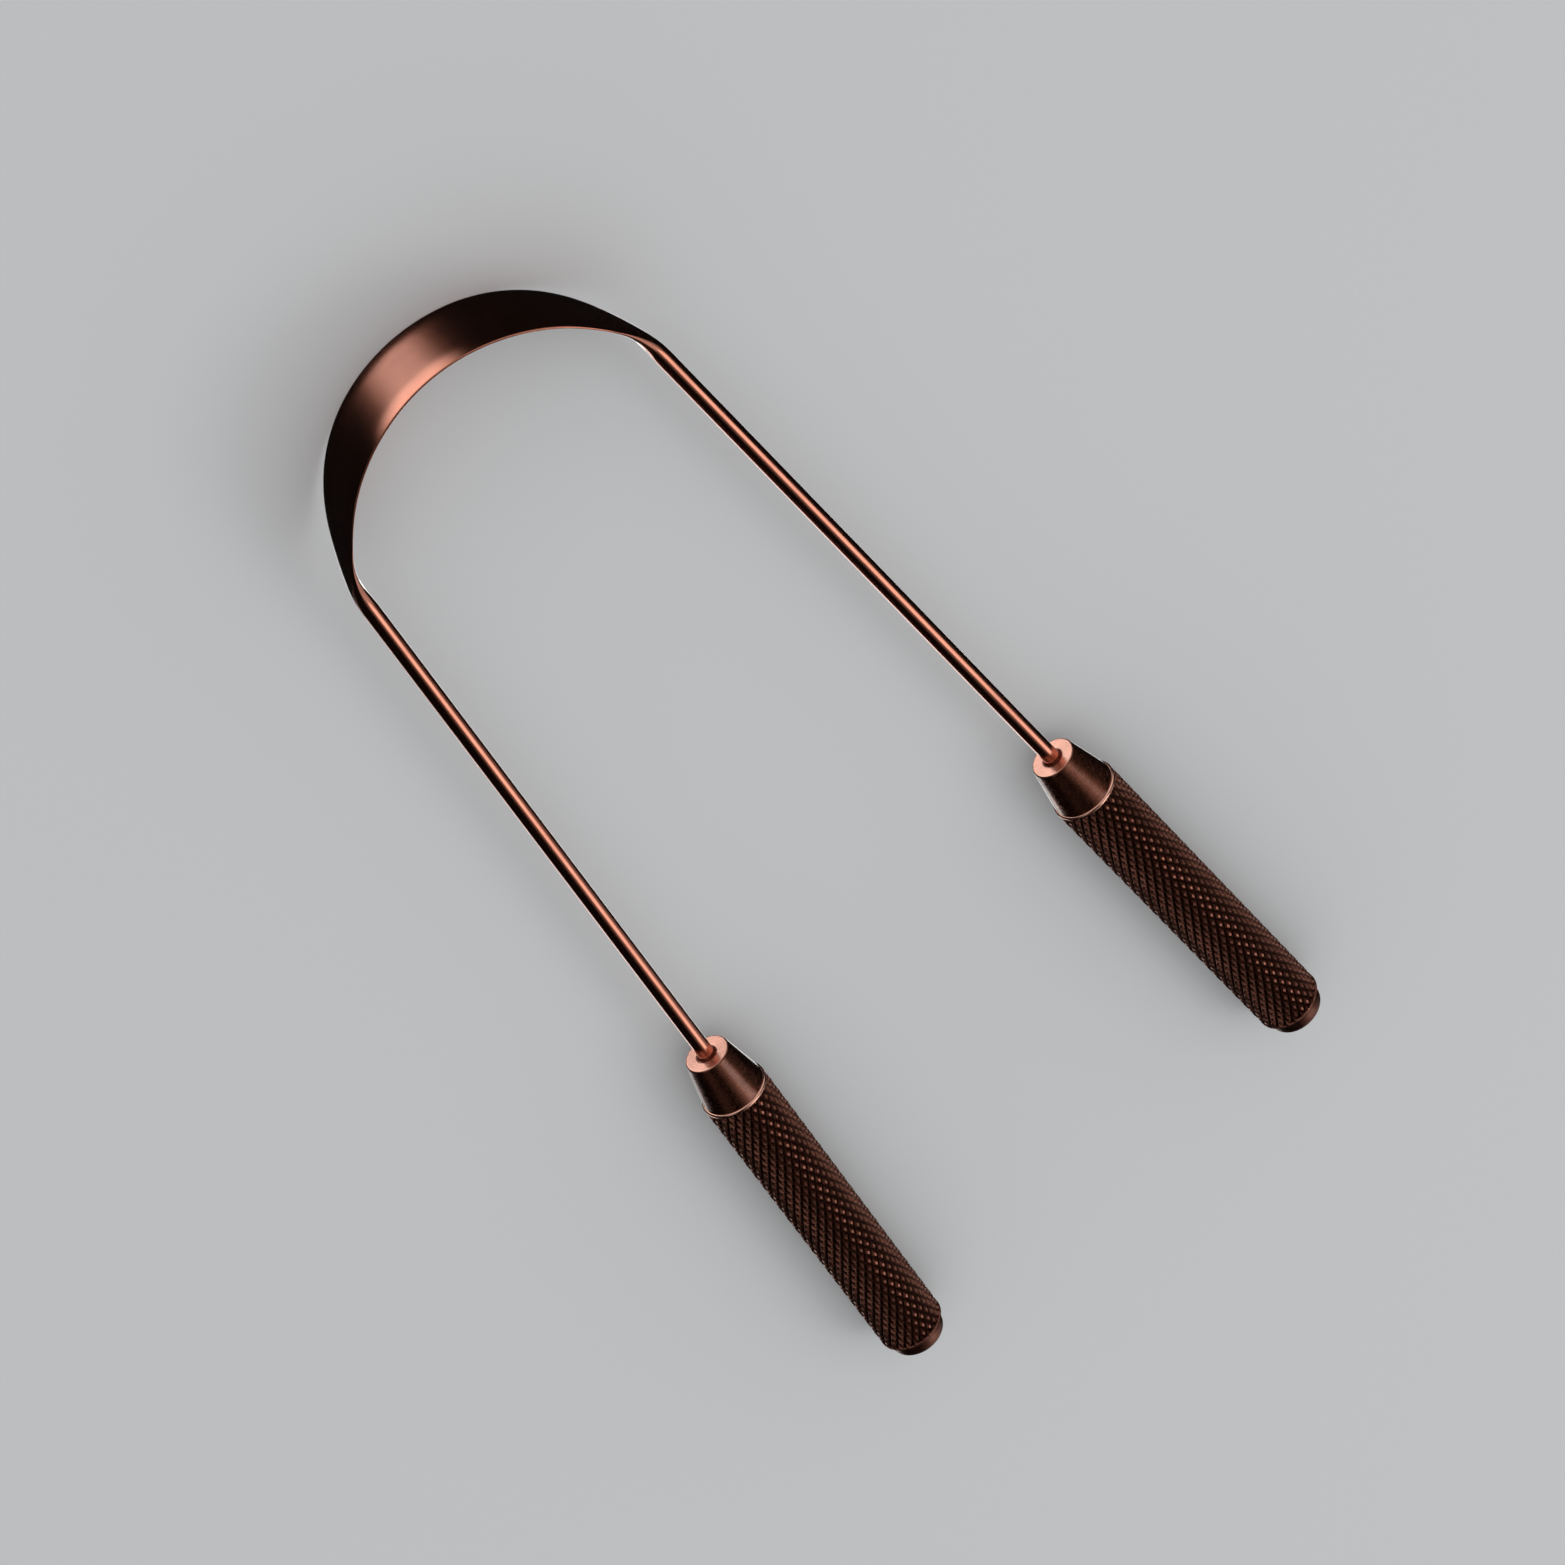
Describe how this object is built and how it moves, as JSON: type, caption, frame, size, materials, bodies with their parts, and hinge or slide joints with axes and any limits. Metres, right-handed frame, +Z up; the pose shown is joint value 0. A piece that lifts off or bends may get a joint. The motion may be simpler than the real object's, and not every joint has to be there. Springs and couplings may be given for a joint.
{
  "type": "tongue scraper",
  "caption": "U-shaped copper tongue scraper: a springy wire bow forged into a tall thin curved blade, with knurled handles on its ends.",
  "frame": {"origin": "on the plane the part lies on, below the middle of its bounding box", "axes": "+Y from the handles to the blade, +X to the right-hand handle seen from the handles, +Z up from the plane the part lies on"},
  "size_m": [0.0654, 0.1424, 0.011],
  "materials": {
    "satin_copper": "forged, satin polished",
    "brushed_copper": "turned, brushed round",
    "knurled_copper": "diamond knurled, bright tops",
    "polished_copper": "turned, polished",
    "braze": "brazed, darkened"
  },
  "bodies": {
    "root": {"scraper_bow": "satin_copper", "left_collar": "brushed_copper", "left_grip": "knurled_copper", "left_end_button": "polished_copper", "left_braze_ring": "braze", "right_collar": "brushed_copper", "right_grip": "knurled_copper", "right_end_button": "polished_copper", "right_braze_ring": "braze"}
  },
  "joints": []
}
